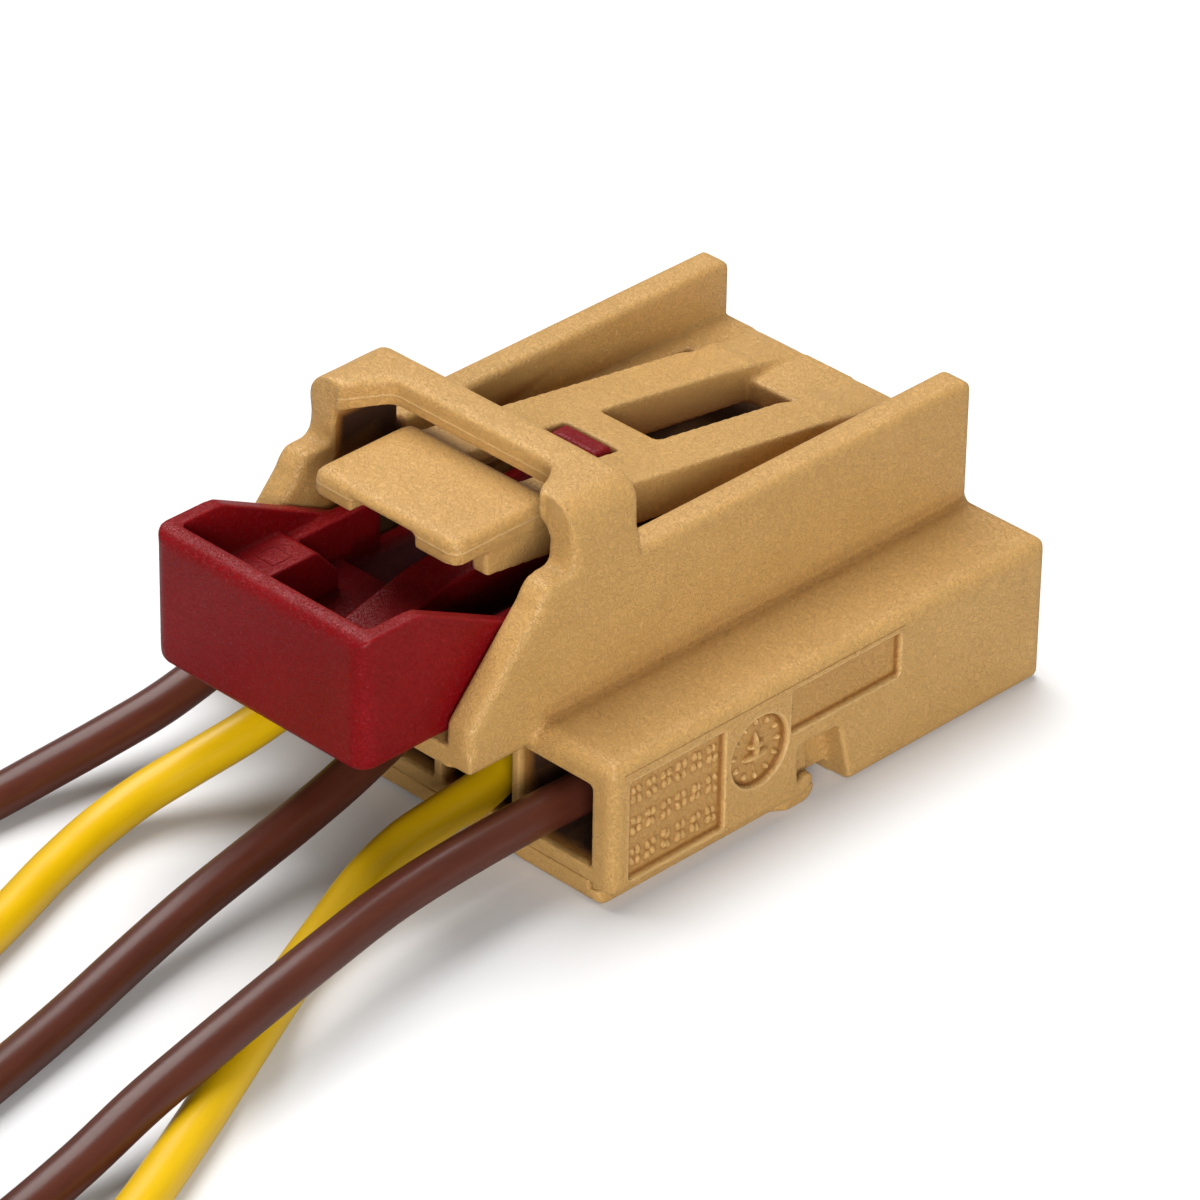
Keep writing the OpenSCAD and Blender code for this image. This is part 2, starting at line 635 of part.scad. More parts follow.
// Contact: open box with two sprung beams, a neck, and crimps on strands and insulation
module contact(i) {
    crimp_r = strand_d / 2 - crimp_bite;
    grip_r_in = wire_d / 2 - crimp_bite;
    low = axis_z - box_z;
    crimp_low = axis_z - crimp_r - sheet - 0.05;
    grip_low = axis_z - grip_r_in - sheet - 0.05;
    color(TIN) placed() translate([way_x(i), 0, 0]) {
        difference() {
            block(-box_x, cage_y + 0.2, low, box_x, cage_end - 0.3, axis_z + box_z - box_gap);
            block(-box_x + sheet, 0, low + sheet, box_x - sheet, base_l, axis_z + box_z - box_gap - sheet);
        }
        spring_beam(1);
        spring_beam(-1);
        along_x(-neck_x, neck_x,
                [[crimp_y - 0.1, crimp_low, 0], [crimp_end, crimp_low, 0], [prong_y, low, 0],
                 [cage_y + 1, low, 0], [cage_y + 1, low + sheet - 0.02, 0],
                 [prong_y + 0.1, low + sheet - 0.02, 0],
                 [crimp_end, crimp_low + sheet - 0.05, 0], [crimp_y - 0.1, crimp_low + sheet - 0.05, 0]]);
        along_x(-neck_x, neck_x,
                [[grip_end - 0.2, grip_low, 0], [crimp_y + 0.1, crimp_low, 0],
                 [crimp_y + 0.1, crimp_low + sheet - 0.05, 0], [strip_y + 0.2, grip_low + sheet - 0.05, 0],
                 [grip_end - 0.2, grip_low + sheet - 0.05, 0]]);
        crimp_barrel(crimp_y, crimp_end, crimp_r);
        crimp_barrel(grip_start, grip_end, grip_r_in);
    }
}
module crimp_barrel(y0, y1, bore) {
    difference() {
        rod_y(y0, y1, axis_z, bore + sheet);
        rod_y(y0 - cut, y1 + cut, axis_z, bore);
    }
}
// A beam bows from the box's rear edge in towards the blade and out again at the mouth
module spring_beam(side) {
    back = cage_y + beam_start;
    nip = cage_end - beam_nip;
    lip = cage_end - beam_lip;
    wall_z = axis_z + side * (box_z - sheet) - (side > 0 ? box_gap : 0);
    nip_z = axis_z + side * 0.35;
    lip_z = axis_z + side * 0.75;
    t = side * sheet;
    along_x(-box_x + sheet + box_gap, box_x - sheet - box_gap,
            [[back, wall_z - t, 0], [back, wall_z + t / 2, 0], [back + 1.5, wall_z + t / 2, 0],
             [nip, nip_z + t, 0], [lip, lip_z + t, 0], [lip, lip_z, 0], [nip, nip_z, 0]]);
}

// Steel cage slipped over the contact's box, with a stiffening bead along its top
module contact_cage(i) {
    color(STEEL) placed() translate([way_x(i), 0, 0]) {
        difference() {
            block(-cage_x, cage_y, axis_z - cage_z, cage_x, cage_end, axis_z + cage_z);
            block(-cage_x + cage_t, 0, axis_z - cage_z + cage_t,
                  cage_x - cage_t, base_l, axis_z + cage_z - cage_t);
            block(-cage_x / 2, cage_y + port_start, axis_z,
                  cage_x / 2, cage_y + port_start + port_l, axis_z + bore_h);
        }
    }
}

// Bare strands of a lead in the crimp
module conductor(i) {
    color(COPPER) placed() translate([way_x(i), 0, 0]) rod_y(strip_y, crimp_end + 0.4, axis_z, strand_d / 2);
}

// Insulated lead: a round section swept along its route
function heading(route, k) =
    let (n = len(route) - 1)
    unit(route[min(k + 1, n)] - route[max(k - 1, 0)]);
function ring(centre, along, r, sides) =
    let (side = unit(cross(along, [0, 0, 1])), up = cross(side, along))
    [for (s = [0:sides - 1])
        let (angle = 360 * (s + 0.5) / sides)
        centre + r * (cos(angle) * side + sin(angle) * up)];
module lead(route, r, sides) {
    rings = len(route);
    points = [for (k = [0:rings - 1]) each ring(route[k], heading(route, k), r, sides)];
    first = [[for (s = [0:sides - 1]) s]];
    last = [[for (s = [sides - 1:-1:0]) (rings - 1) * sides + s]];
    skin = [for (k = [0:rings - 2], s = [0:sides - 1])
        let (next = (s + 1) % sides, a = k * sides, b = a + sides)
        [a + s, b + s, b + next, a + next]];
    polyhedron(points = points, faces = concat(first, skin, last));
}
module wire(i) {
    color(LEADS[i]) placed() lead(LEAD_ROUTES[i], wire_d / 2, LEAD_SIDES);
}

housing();
latch_lever();
position_lock();
lock_catch();
terminal_retainer();
for (i = [0:WAYS - 1]) {
    contact(i);
    contact_cage(i);
    conductor(i);
    wire(i);
}
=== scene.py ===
"""Five-way tail light connector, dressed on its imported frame.

Sizes are in millimetres in the maker's layout: X = 0 in the middle of the contact row, Y = 0 at the wire
side of the base and +Y the plugging direction. place() turns them into metres in the shared frame.
"""
import math

import bpy
import numpy as np
from mathutils import Matrix, Vector


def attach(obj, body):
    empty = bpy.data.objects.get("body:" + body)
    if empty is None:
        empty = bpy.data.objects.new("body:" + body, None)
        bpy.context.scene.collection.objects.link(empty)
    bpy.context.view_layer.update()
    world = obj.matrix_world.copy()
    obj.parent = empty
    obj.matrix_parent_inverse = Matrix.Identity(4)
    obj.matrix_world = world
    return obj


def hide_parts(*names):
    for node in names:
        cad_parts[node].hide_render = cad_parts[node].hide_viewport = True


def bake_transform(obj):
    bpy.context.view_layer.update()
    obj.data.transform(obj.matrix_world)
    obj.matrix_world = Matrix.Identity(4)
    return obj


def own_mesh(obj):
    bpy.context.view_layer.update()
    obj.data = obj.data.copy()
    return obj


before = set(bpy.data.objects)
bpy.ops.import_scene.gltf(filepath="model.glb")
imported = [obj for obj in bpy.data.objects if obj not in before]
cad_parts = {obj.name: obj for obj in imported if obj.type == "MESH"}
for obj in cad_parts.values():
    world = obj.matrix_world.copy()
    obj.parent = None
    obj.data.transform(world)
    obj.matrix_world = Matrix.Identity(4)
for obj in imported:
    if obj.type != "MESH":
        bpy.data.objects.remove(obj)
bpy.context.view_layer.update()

# Sizes shared with the solids
MID_Y = 9.85            # the maker's Y of the frame's origin
AXIS_Z = 4.05           # height of the contacts' row
STRIP_Y = 6.2           # where the insulation ends in the crimp
LEAD_D = 2.0            # over the insulation
STRAND_D = 1.2          # over the bare strands
LIE = LEAD_D / 2        # height of a lead's middle where it lies on the floor
SIDE_X = 13.6           # marked side of the base, with three sunk panels: marks, dial and long field
MARKS_Y, MARKS_BACK, MARKS_LOW, MARKS_TOP = 1.1, 7.1, 1.35, 6.5
DIAL_Y, DIAL_Z, DIAL_R = 9.35, 4.45, 1.8
FIELD_Y, FIELD_BACK, FIELD_LOW, FIELD_TOP = 11.4, 18.5, 4.45, 6.7
BRIDGE_Y = 4.55         # front of the bridge's set back middle
ROOT_Y, ROOT_Z, ROOT_R = 24.3, 10.9, 1.0        # axis and radius of the latch arms' root
ARM_IN, ARM_OUT = 1.8, 4.55                     # inner and outer side of each arm
LOCK_X = 6.78           # half the lock's width
BLOCK_Z = 12.0          # top of the lock's stop blocks

# Routes of the leads, from the crimp out to the cut end
LEAD_ROUTES = {
    1: [(-10, STRIP_Y, AXIS_Z), (-10, 3, AXIS_Z), (-9.9, 0.5, 3.9), (-9.8, -2.5, 3.3), (-9.9, -5.5, 2.6),
        (-10.3, -8.5, 2), (-10.7, -11.5, 1.5), (-11, -15, 1.1), (-11.2, -20, LIE), (-11.3, -26, LIE),
        (-11.3, -33, LIE), (-11.1, -42, LIE), (-10.7, -53, LIE), (-10.2, -65, LIE), (-9.8, -78, LIE),
        (-9.6, -92, LIE)],
    2: [(-5, STRIP_Y, AXIS_Z), (-5, 3, AXIS_Z), (-5, 0.5, 3.95), (-4.9, -2, 3.6), (-5.1, -4.5, 3),
        (-5.7, -7.5, 2.2), (-6.2, -10, 1.5), (-6.1, -12.5, 1.1), (-5.2, -16, LIE), (-3.6, -20.5, LIE),
        (-1.6, -27, LIE), (0, -35, LIE), (1.2, -45, LIE), (1.8, -57, LIE), (2, -71, LIE), (2, -88, LIE)],
    3: [(0, STRIP_Y, AXIS_Z), (0, 3, AXIS_Z), (0.3, 0.5, 3.95), (0.8, -2, 3.7), (1.2, -4.5, 3.3),
        (1.5, -7.5, 2.8), (1.8, -11, 2.3), (2.2, -14.5, 1.9), (2.9, -18.5, 1.5), (4, -23.5, 1.15),
        (5.4, -30, LIE), (6.9, -38, LIE), (8.2, -48, LIE), (9, -59, LIE), (9.5, -71, LIE), (9.6, -86, LIE)],
    4: [(5, STRIP_Y, AXIS_Z), (5.1, 3.6, 3.9), (5.5, 1.4, 3.4), (5.7, -0.5, 3), (5.6, -2.5, 2.7),
        (5.6, -5, 2.4), (6, -7.7, 1.9), (7, -10.9, 1.3), (8.2, -14, LIE), (10.8, -19.3, LIE),
        (13.6, -24.9, LIE), (16.4, -31, LIE), (19.2, -39, LIE), (20.8, -49, LIE), (21.2, -64, LIE),
        (21.2, -84, LIE)],
    5: [(10, STRIP_Y, AXIS_Z), (10, 2.5, AXIS_Z), (9.9, -0.5, AXIS_Z), (9.9, -5, 4), (10.1, -10, 3.85),
        (10.8, -15, 3.65), (11.5, -19.5, 3.4), (12, -23, 3.1), (12.3, -26.5, 2.5), (12.7, -30.5, 1.6),
        (13.2, -34.5, 1.1), (13.9, -39, LIE), (15.2, -47, LIE), (16.5, -57, LIE), (17.4, -69, LIE),
        (18, -84, LIE)],
}
ROUTE_STEPS = 8         # points drawn for each piece of a route

# Camera of the photograph: place in the shared frame, turn, tilt, roll and lens
EYE = (0.19804, -0.19917, 0.18215)
TURN, TILT, ROLL = 44.41048, 32.08261, 1.01878
LENS, SENSOR = 217.66, 36.0

# Studio: level of the surrounding light, tones of the floor as seen and as it lights the part, and lamps
AMBIENT = 0.24
FLOOR_SEEN, FLOOR_BOUNCE, FLOOR_LIFT = 0.82, 0.45, 0.03
FLOOR_HALF = 2.0                # metres
FLOOR_FADE = (0.12, 0.5)        # metres from the origin between which the floor turns white
LAMPS = {  # place, aim, diameter in metres and watts
    "sky_panel": ((-0.19, 0.06, 0.45), (0, 0, 0), 0.50, 3.4),
    "front_panel": ((0.46, -0.38, 0.15), (0, 0, 0.005), 0.36, 3.8),
}

# Colours of the mouldings: two body tones, a pale tone for grain, painted glints and highlights, painted
# shade for hollows, painted deep shadow inside
TAN_BODY = ((0.490, 0.274, 0.084), (0.530, 0.304, 0.098))
# The lever's tan is a touch lighter than the housing's: painted light on its top, which sits in shade
LEVER_PAINTED_LIGHT_BODY = ((0.505, 0.283, 0.087), (0.545, 0.313, 0.101))
TAN_GRAIN_AND_HIGHLIGHT = (0.68, 0.435, 0.180)
TAN_PAINTED_SHADE = (0.27, 0.105, 0.017)
TAN_PAINTED_DEEP_SHADE = (0.040, 0.013, 0.003)
RED_BODY = ((0.172, 0.0016, 0.0030), (0.204, 0.0024, 0.0044))
RED_GRAIN_AND_HIGHLIGHT = (0.38, 0.022, 0.028)
RED_PAINTED_SHADE = (0.085, 0.0005, 0.001)
RED_PAINTED_DEEP_SHADE = (0.030, 0.0003, 0.0005)

# A piece's rim attribute, which places painted highlights and painted shade: above 0 on outer edges, below 0
# in inner corners, far below 0 deep inside
RIM_PER_MM = 10
RIM_RAMP = (0.12, 0.8)          # from no tint to the full one
# Painted deep shadow where the rim is taken this far down
PAINTED_SHADE_RIM = 2.4                  # taken off deep inside

# How far each feature of the moulded plastic tints it: grain, painted glints, painted highlights on crests,
# painted shade in hollows, and a painted highlight on parting lines
FINE_TINT, CRINKLE_TINT, PAINTED_GLINT_TINT = 0.3, 0.20, 0.38
PAINTED_HIGHLIGHT_TINT, PAINTED_SHADE_TINT, SEAM_HIGHLIGHT_TINT = 0.65, 0.9, 0.8

# Parting lines, real lines tinted pale as a painted highlight: a height in mm, the maker's Y at which the
# line ends and its half length
BRIDGE_SEAM = (16.95, 4.9, 6.4)
PAD_SEAM = (15.0, 5.4, 5.0)
SEAM_HALF, SEAM_FADE = 0.04, 0.2

# Inner corner where the tower stands on the base, darkened with painted shade: distance from the middle,
# height and start in Y
TOWER_SHADE_CREASE = (8.6, 7.6, 0.3)
CREASE_HALF, CREASE_FADE, CREASE_PAINTED_SHADE = 0.45, 0.4, 0.3


def place(points):
    """Millimetres of the maker's layout as metres of the shared frame: Y less MID_Y, all over 1000."""
    return (np.asarray(points, float) - (0, MID_Y, 0)) / 1000


# Finishes
class Tap:
    """A socket in a finish's node tree. Sums and products of taps and numbers add Math nodes."""

    def __init__(self, tree, socket=None):
        self.tree, self.socket = tree, socket

    def node(self, kind, settings=None, sockets=None, out=0):
        """Any node: type, settings, then values or taps for its sockets; gives the output asked for."""
        made = self.tree.nodes.new(kind)
        for key, value in (settings or {}).items():
            setattr(made, key, value)
        for key, value in (sockets or {}).items():
            if isinstance(value, Tap):
                self.tree.links.new(value.socket, made.inputs[key])
            else:
                made.inputs[key].default_value = value
        return Tap(self.tree, made.outputs[out])

    def other(self, out):
        """Another output of the same node."""
        return Tap(self.tree, self.socket.node.outputs[out])

    def math(self, operation, *values):
        return self.node("ShaderNodeMath", {"operation": operation}, dict(enumerate(values)))

    def __add__(self, value):
        return self.math("ADD", self, value)

    def __radd__(self, value):
        return self.math("ADD", value, self)

    def __sub__(self, value):
        return self.math("SUBTRACT", self, value)

    def __rsub__(self, value):
        return self.math("SUBTRACT", value, self)

    def __mul__(self, value):
        return self.math("MULTIPLY", self, value)

    def __rmul__(self, value):
        return self.math("MULTIPLY", value, self)

    def __abs__(self):
        return self.math("ABSOLUTE", self)

    def between(self, low, high):
        """0 below low, 1 above high, a straight ramp between."""
        return self.node("ShaderNodeMapRange", {"clamp": True}, {0: self, 1: low, 2: high})

    def near(self, at, half):
        """1 where the value lies within half of at, fading to 0 at twice that distance."""
        return 1 - abs(self - at).between(half, 2 * half)

    def mix(self, low, high):
        """A colour between low and high, by this value."""
        ends = {k: v if isinstance(v, Tap) else (*v, 1) for k, v in ((6, low), (7, high))}
        return self.node("ShaderNodeMix", {"data_type": "RGBA"}, {0: self, **ends}, out=2)


def finish(name, build, **constants):
    """A material whose shader gets constants on its own sockets and the taps that build returns."""
    made = bpy.data.materials.new(name)
    made.use_nodes = True
    tree = made.node_tree
    shader = tree.nodes["Principled BSDF"]
    for key, value in constants.items():
        shader.inputs[key.replace("_", " ")].default_value = value
    for key, tap in build(Tap(tree)).items():
        tree.links.new(tap.socket, shader.inputs[key])
    return made


def spot_mm(tap):
    """The piece's own place in millimetres of the shared frame."""
    spot = tap.node("ShaderNodeTexCoord", out="Object")
    return tap.node("ShaderNodeVectorMath", {"operation": "SCALE"}, {0: spot, "Scale": 1000.0})


def stretched(spot, scale):
    return spot.node("ShaderNodeMapping", {}, {"Vector": spot, "Scale": scale})


def cloud(spot, scale, detail=2.0, rough=0.5, distortion=0.0):
    return spot.node("ShaderNodeTexNoise", {}, {"Vector": spot, "Scale": scale, "Detail": detail,
                                                "Roughness": rough, "Distortion": distortion})


def bumped(height, strength, depth_mm):
    sockets = {"Strength": strength, "Distance": depth_mm / 1000, "Height": height}
    return height.node("ShaderNodeBump", {}, sockets)


def moulded_plastic(name, body, pale, painted_shade, painted_deep_shade, grain, rough, gloss, seams=(), shade_creases=()):
    """Spark-eroded moulded plastic: fine wavy grain, cloudy tone, painted glints, painted highlights on
    crests and painted shade in hollows.

    seams are thin parting lines tinted pale as a painted highlight, and shade_creases are inner corners along
    Y darkened with painted shade, each as told where its sizes are listed.
    """
    def build(tap):
        spot = spot_mm(tap)
        rim = tap.node("ShaderNodeAttribute", {"attribute_name": "rim"}, out="Fac")
        # Masks of painted light: highlights on outer edges, shade in inner corners, deep shadow deep inside
        crest_highlight_mask = rim.between(*RIM_RAMP)
        hollow_shade_mask = (0 - rim).between(*RIM_RAMP)
        deep_shade_mask = (0 - rim).between(1.0, PAINTED_SHADE_RIM)
        axes = tap.node("ShaderNodeSeparateXYZ", {}, {0: spot})
        x_mm, y_mm, z_mm = abs(axes), axes.other("Y"), axes.other("Z")
        # Painted shade along the inner corner where the tower stands on the base
        for out, up, start in shade_creases:
            behind = y_mm.between(start - MID_Y, start - MID_Y + CREASE_FADE)
            hollow_shade_mask = hollow_shade_mask + x_mm.near(out, CREASE_HALF) * z_mm.near(up, CREASE_HALF) * behind * CREASE_PAINTED_SHADE
        waves = cloud(spot, 4.4, detail=1.0, distortion=1.4)
        crinkle = 1 - abs(waves - 0.5).between(0.0, 0.05)
        fine = cloud(spot, 8.0, rough=0.6)
        glint_mask = cloud(spot, 4.0, detail=1.0).between(0.69, 0.75)
        blotch = cloud(spot, 0.3, detail=3.0, rough=0.55).between(0.3, 0.7)
        tone = blotch.mix(*body)
        tone = (fine.between(0.35, 0.7) * FINE_TINT).mix(tone, body[1])
        tone = (crinkle * CRINKLE_TINT).mix(tone, pale)
        # Painted glints: pale specks
        tone = (glint_mask * PAINTED_GLINT_TINT).mix(tone, pale)
        # Painted highlights on the outer edges
        tone = (crest_highlight_mask * PAINTED_HIGHLIGHT_TINT).mix(tone, pale)
        # Painted shade in the inner corners and creases
        tone = (hollow_shade_mask * PAINTED_SHADE_TINT).mix(tone, painted_shade)
        # Painted deep shadow in the deep boxes
        tone = deep_shade_mask.mix(tone, painted_deep_shade)
        height = fine * 0.5 + crinkle * 0.5
        for at, end, half in seams:
            seam = (z_mm.near(at, SEAM_HALF) * (1 - y_mm.between(end - MID_Y, end - MID_Y + SEAM_FADE))
                    * (1 - x_mm.between(half, half + SEAM_FADE)))
            # The parting line is real; its pale tint is a painted highlight along it
            tone = (seam * SEAM_HIGHLIGHT_TINT).mix(tone, pale)
            height = height + seam * 0.6
        return {"Base Color": tone, "Roughness": rough + fine * 0.16 - crest_highlight_mask * 0.1 + deep_shade_mask * 0.5,
                "Normal": bumped(height, grain, 0.04)}

    return finish(name, build, Specular_IOR_Level=gloss)


def insulation(name, body, pale, rough):
    """Extruded insulation: faint streaks along the lead from its own length and turn, soft gloss."""
    def build(tap):
        skin = tap.node("ShaderNodeUVMap", {"uv_map": "skin"})
        streak = cloud(stretched(skin, (0.25, 9.0, 1.0)), 1.0, detail=3.0, rough=0.55)
        fine = cloud(spot_mm(tap), 6.0)
        tone = streak.between(0.3, 0.7).mix(body, pale)
        return {"Base Color": tone, "Roughness": rough + fine * 0.12,
                "Normal": bumped(fine * 0.4 + streak, 0.35, 0.03)}

    return finish(name, build, Specular_IOR_Level=0.35)


def sheet_metal(name, bright, dull, rough):
    """Rolled sheet: long thin streaks along Y and dull patches."""
    def build(tap):
        spot = spot_mm(tap)
        streak = cloud(stretched(spot, (14.0, 0.8, 14.0)), 1.0, detail=4.0, rough=0.6)
        tone = cloud(spot, 0.7).between(0.35, 0.7).mix(bright, dull)
        return {"Base Color": tone, "Roughness": rough + streak * 0.25,
                "Normal": bumped(streak, 0.2, 0.02)}

    return finish(name, build, Metallic=1.0)


def pale_floor():
    """Plain pale floor: brighter to the camera than in the light it throws back, and white far off."""
    def build(tap):
        seen = tap.node("ShaderNodeLightPath", out="Is Camera Ray")
        spot = tap.node("ShaderNodeTexCoord", out="Object")
        away = tap.node("ShaderNodeVectorMath", {"operation": "LENGTH"}, {0: spot}, out="Value")
        lift = away.between(*FLOOR_FADE).mix((FLOOR_LIFT,) * 3, (1, 1, 1))
        return {"Base Color": seen.mix((FLOOR_BOUNCE,) * 3, (FLOOR_SEEN,) * 3),
                "Emission Color": seen.mix((0, 0, 0), lift)}

    return finish("pale_floor", build, Roughness=0.95, Specular_IOR_Level=0.0, Emission_Strength=1.0)


TAN_TONES = (TAN_BODY, TAN_GRAIN_AND_HIGHLIGHT, TAN_PAINTED_SHADE, TAN_PAINTED_DEEP_SHADE)
TAN = moulded_plastic("tan_moulding", *TAN_TONES, grain=1.0, rough=0.38, gloss=0.28,
                      seams=(BRIDGE_SEAM,), shade_creases=(TOWER_SHADE_CREASE,))
TAN_LEVER = moulded_plastic("tan_lever_moulding", LEVER_PAINTED_LIGHT_BODY, *TAN_TONES[1:],
                            grain=1.0, rough=0.38, gloss=0.28, seams=(PAD_SEAM,))
RED = moulded_plastic("red_moulding", RED_BODY, RED_GRAIN_AND_HIGHLIGHT, RED_PAINTED_SHADE, RED_PAINTED_DEEP_SHADE,
                      grain=1.0, rough=0.27, gloss=0.16)
BROWN = insulation("brown_insulation", (0.068, 0.0160, 0.0082), (0.088, 0.0225, 0.0120), 0.26)
YELLOW = insulation("yellow_insulation", (0.66, 0.396, 0.0010), (0.72, 0.440, 0.0020), 0.28)
TINNED = sheet_metal("tinned_sheet", (0.78, 0.78, 0.78), (0.55, 0.55, 0.56), 0.22)
STEEL = sheet_metal("cage_steel_sheet", (0.60, 0.61, 0.63), (0.42, 0.43, 0.45), 0.28)
COPPER = sheet_metal("copper_strands", (0.80, 0.42, 0.24), (0.58, 0.27, 0.14), 0.25)


# Meshes
def mesh_object(name, points, faces, material, smooth=True):
    """An object at the origin from an array of points and an array of faces."""
    mesh = bpy.data.meshes.new(name)
    mesh.from_pydata(np.asarray(points, float).tolist(), [], np.asarray(faces, int).tolist())
    mesh.polygons.foreach_set("use_smooth", np.full(len(mesh.polygons), smooth))
    mesh.materials.append(material)
    mesh.update()
    return linked(name, mesh)


def linked(name, data):
    made = bpy.data.objects.new(name, data)
    bpy.context.scene.collection.objects.link(made)
    return made


def grid_faces(rows, sides):
    """Quads of a grid of rows whose points run round and close."""
    k, s = np.meshgrid(np.arange(rows - 1) * sides, np.arange(sides), indexing="ij")
    t = (s + 1) % sides
    return np.stack([k + s, k + sides + s, k + sides + t, k + t], axis=-1).reshape(-1, 4)


def values(collection, key, width=1, kind=np.float32):
    """One property of a whole collection as an array, in rows of the given width."""
    out = np.empty(len(collection) * width, kind)
    collection.foreach_get(key, out)
    return out.reshape(-1, width) if width > 1 else out


def settled(obj):
    """The object's mesh with its modifiers worked in; the object and its own mesh are dropped."""
    graph = bpy.context.evaluated_depsgraph_get()
    graph.update()
    made = bpy.data.meshes.new_from_object(obj.evaluated_get(graph))
    mesh = obj.data
    bpy.data.objects.remove(obj)
    bpy.data.meshes.remove(mesh)
    return made


# Mouldings: the cell of each skin in mm, its passes and the most triangles
HOUSING_SKIN = (0.11, 5, 215000)
LOCK_SKIN = (0.08, 7, 90000)
CATCH_SKIN = (0.04, 8, 5000)
SOLE_SKIN = (0.08, 5, 70000)
LEVER_X, LEVER_LOW, LEVER_TOP = 5.15, 9.3, 16.0     # box that parts the lever from the housing
BEND_Y, BEND_END = ROOT_Y - 0.15, ROOT_Y - 2.2      # stretch of the arms that bends
FILL_Y = ROOT_Y - 0.05                              # middle of the plugs behind the arms' roots
FILL_HALF_Y, FILL_HALF_Z = ROOT_R + 0.09, ROOT_R + 0.07
FILL_SIDE = 0.13                                    # how far they reach past the arms' sides


def solid_mm(node):
    """Points in the maker's millimetres and triangles of a CAD node, with shared corners merged."""
    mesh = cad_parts[node].data
    points = np.round(values(mesh.vertices, "co", 3).astype(float) * 1000 + (0, MID_Y, 0), 4)
    mesh.calc_loop_triangles()
    tris = values(mesh.loop_triangles, "vertices", 3, np.int32)
    merged, index = np.unique(points, axis=0, return_inverse=True)
    return merged, index.reshape(-1)[tris]


def root_fillers():
    """Half round plugs that close the running gap behind the root of each latch arm.

    The profile is a half ellipse about the root's axis on the plate's side, carried across the arm's width.
    """
    turn = np.linspace(-np.pi / 2, np.pi / 2, 25)
    ring = np.stack([FILL_Y + FILL_HALF_Y * np.cos(turn), ROOT_Z + FILL_HALF_Z * np.sin(turn)], axis=1)
    n = len(ring)
    k = np.arange(n)
    skin = np.stack([k, k + n, (k + 1) % n + n, (k + 1) % n], axis=1)
    fan = np.stack([np.zeros(n - 2, int), k[1:-1], k[2:]], axis=1)
    tris = np.concatenate([skin[:, [0, 2, 1]], skin[:, [0, 3, 2]], fan, fan[:, ::-1] + n])
    ends = np.array([ARM_IN - FILL_SIDE, ARM_OUT + FILL_SIDE])
    return [(np.concatenate([np.column_stack([np.full(n, x), ring]) for x in np.sort(side * ends)]), tris)
            for side in (-1, 1)]


def relaxed(points, edges, passes, weight):
    """Points after some passes in which each moves half way, times its weight, to its neighbours' mean."""
    live = edges[(weight[edges] > 0).any(axis=1)]
    here, there = np.concatenate([live, live[:, ::-1]]).T
    n = len(points)
    count = np.maximum(np.bincount(here, minlength=n), 1)[:, None]
    pull = 0.5 * weight[:, None]
    for _ in range(passes):
        mean = np.stack([np.bincount(here, points[there, axis], n) for axis in range(3)], axis=1) / count
        points = points + pull * np.where(pull > 0, mean - points, 0)
    return points


def inside(points, low, high, fade):
    """1 well inside a box, 0 outside it, with a straight ramp over the fade at its walls."""
    depth = np.minimum(points - low, np.asarray(high) - points).min(axis=1)
    return np.clip(depth / fade, 0, 1)


def moulded_skin(parts, voxel, passes, budget, soft=(), painted_shade=(), shape=None):
    """Skin of a moulding with rounded edges: arrays of points (mm), triangles, normals and rim.

    The closed parts are wrapped together by a level set of the given cell. Every point is then moved to the
    mean of its neighbours for some passes, and for more passes inside the soft boxes, and the skin is thinned
    to the budget of triangles. shape changes local forms before the last passes. rim is how far the first
    passes moved a point inwards along its normal, in tenths of a millimetre, less PAINTED_SHADE_RIM in the
    painted_shade boxes; it places the painted highlights, the painted shade and the painted deep shadow.
    """
    starts = np.cumsum([0] + [len(p) for p, _ in parts])
    work = mesh_object("work", np.concatenate([p for p, _ in parts]),
                       np.concatenate([t + s for (_, t), s in zip(parts, starts)]), TAN)
    wrap = work.modifiers.new("wrap", "REMESH")
    wrap.mode, wrap.voxel_size, wrap.use_smooth_shade = "VOXEL", voxel, True
    mesh = settled(work)
    before = values(mesh.vertices, "co", 3).astype(float)
    edges = values(mesh.edges, "vertices", 2, np.int32)
    points = relaxed(before, edges, passes, np.ones(len(before)))
    mesh.vertices.foreach_set("co", points.astype(np.float32).ravel())
    mesh.update()
    normal = values(mesh.vertex_normals, "vector", 3)
    rim = ((before - points) * normal).sum(axis=1) * RIM_PER_MM
    for box in painted_shade:
        # Painted deep shadow: the rim is taken down in the deep boxes
        rim -= PAINTED_SHADE_RIM * inside(points, *box)
    if shape:
        points = shape(points)
    for box, more in soft:
        points = relaxed(points, edges, more, inside(points, *box))
    mesh.vertices.foreach_set("co", points.astype(np.float32).ravel())
    mesh.update()
    normal = values(mesh.vertex_normals, "vector", 3)
    mesh.attributes.new("rim", "FLOAT", "POINT").data.foreach_set("value", rim.astype(np.float32))
    mesh.attributes.new("lie", "FLOAT_VECTOR", "POINT").data.foreach_set("vector", normal.ravel())
    mesh.calc_loop_triangles()
    thin = linked("thin", mesh)
    cut = thin.modifiers.new("cut", "DECIMATE")
    cut.ratio = min(1.0, budget / len(mesh.loop_triangles))
    cut.use_collapse_triangulate = True
    last = settled(thin)
    last.calc_loop_triangles()
    skin = (values(last.vertices, "co", 3), values(last.loop_triangles, "vertices", 3, np.int32),
            values(last.attributes["lie"].data, "vector", 3), values(last.attributes["rim"].data, "value"))
    bpy.data.meshes.remove(last)
    return skin


